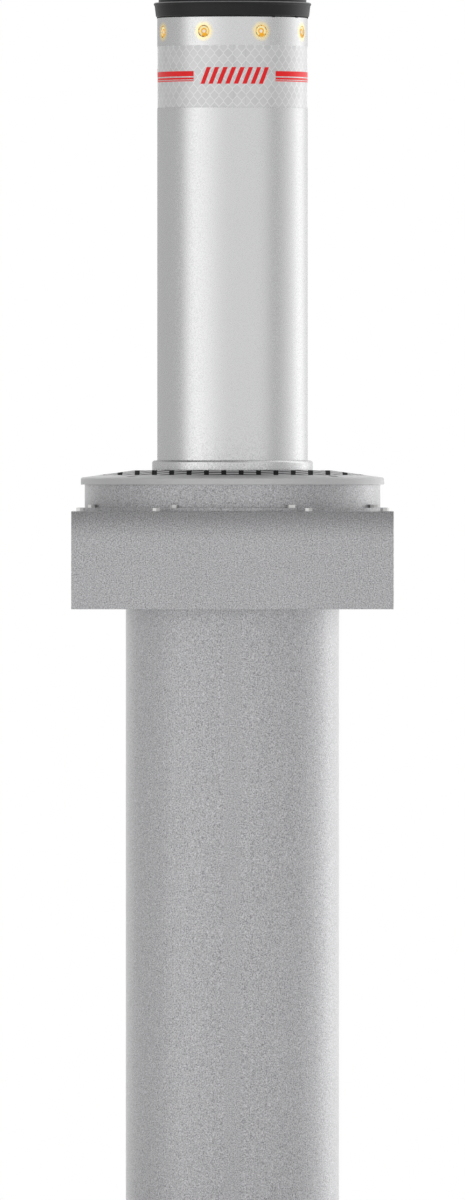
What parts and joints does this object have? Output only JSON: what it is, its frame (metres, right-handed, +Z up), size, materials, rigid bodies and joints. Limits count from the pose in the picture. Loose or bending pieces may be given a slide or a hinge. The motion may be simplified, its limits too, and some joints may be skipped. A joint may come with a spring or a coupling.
{
  "type": "rising security bollard",
  "caption": "Retractable steel security bollard with lights and a reflective band, on a studded road ring over a square casing box and a round buried pit tube.",
  "frame": {"origin": "centre of the pit base's underside, on the rising axis", "axes": "+Z up along the rising axis, -Y the front, +Y the side with the conduit port"},
  "size_m": [0.58, 0.58, 2.2493],
  "materials": {
    "satin_stainless": "satin, fine short grain",
    "galvanised_steel": "matt galvanised, fine grain",
    "tread_casting": "zinc coated casting",
    "machined_steel": "turned and milled",
    "fastener_steel": "zinc plated",
    "chromed_rod": "hard chrome, ground",
    "bush_bronze": "turned bronze",
    "black_rubber": "moulded, matt",
    "black_paint": "fine texture coat, satin",
    "barrel_paint": "enamel",
    "reflective_film": "prismatic film with a fine diamond net",
    "red_film": "gloss film",
    "amber_lens": "clear amber, lit",
    "circuit_board": "solder mask",
    "grey_plastic": "moulded"
  },
  "bodies": {
    "casing": {"pit_base": "galvanised_steel", "drain_strainer": "grey_plastic", "pit_tube": "galvanised_steel", "casing_box": "galvanised_steel", "casing_rear": "galvanised_steel", "box_floor": "galvanised_steel", "lid_frame": "galvanised_steel", "conduit_sleeve": "grey_plastic", "box_lid": "galvanised_steel", "lid_bolts": "fastener_steel", "neck_drum": "galvanised_steel", "neck_bolts": "fastener_steel", "unit_plate": "machined_steel", "unit_bolts": "fastener_steel", "tread_flange": "tread_casting", "tread_grip": "black_rubber", "flange_screws": "fastener_steel", "collar_ring": "satin_stainless", "scraper_seal": "black_rubber", "guide_sleeve": "machined_steel", "guide_bush_upper": "bush_bronze", "guide_bush_lower": "bush_bronze", "guide_column_1": "machined_steel", "guide_column_2": "machined_steel", "guide_column_3": "machined_steel", "guide_column_4": "machined_steel", "column_nuts": "fastener_steel", "column_stops": "black_rubber", "foot_plate": "machined_steel", "foot_bumpers": "black_rubber", "ram_block": "machined_steel", "ram_barrel": "barrel_paint", "ram_gland_nut": "machined_steel", "ram_port": "fastener_steel"},
    "bollard": {"bollard_tube": "satin_stainless", "reflective_band": "reflective_film", "band_stripes": "red_film", "band_bars": "red_film", "light_lens_1": "amber_lens", "light_lens_2": "amber_lens", "light_lens_3": "amber_lens", "light_lens_4": "amber_lens", "light_lens_5": "amber_lens", "light_lens_6": "amber_lens", "light_lens_7": "amber_lens", "light_lens_8": "amber_lens", "light_board": "circuit_board", "head_plate": "machined_steel", "head_plate_bolts": "fastener_steel", "cap_pillars": "fastener_steel", "rod_nut": "fastener_steel", "rod_washer": "fastener_steel", "ram_rod": "chromed_rod", "ram_piston": "machined_steel", "head_cap": "black_paint", "cap_gasket": "black_rubber", "cap_screws": "fastener_steel", "guide_ring": "machined_steel", "slide_bushes": "bush_bronze", "ring_bolts": "fastener_steel"}
  },
  "joints": [
    {"name": "bollard_lift", "type": "slide", "parent": "casing", "child": "bollard", "axis": [0, 0, 1], "range_m": [-0.8, 0]}
  ]
}
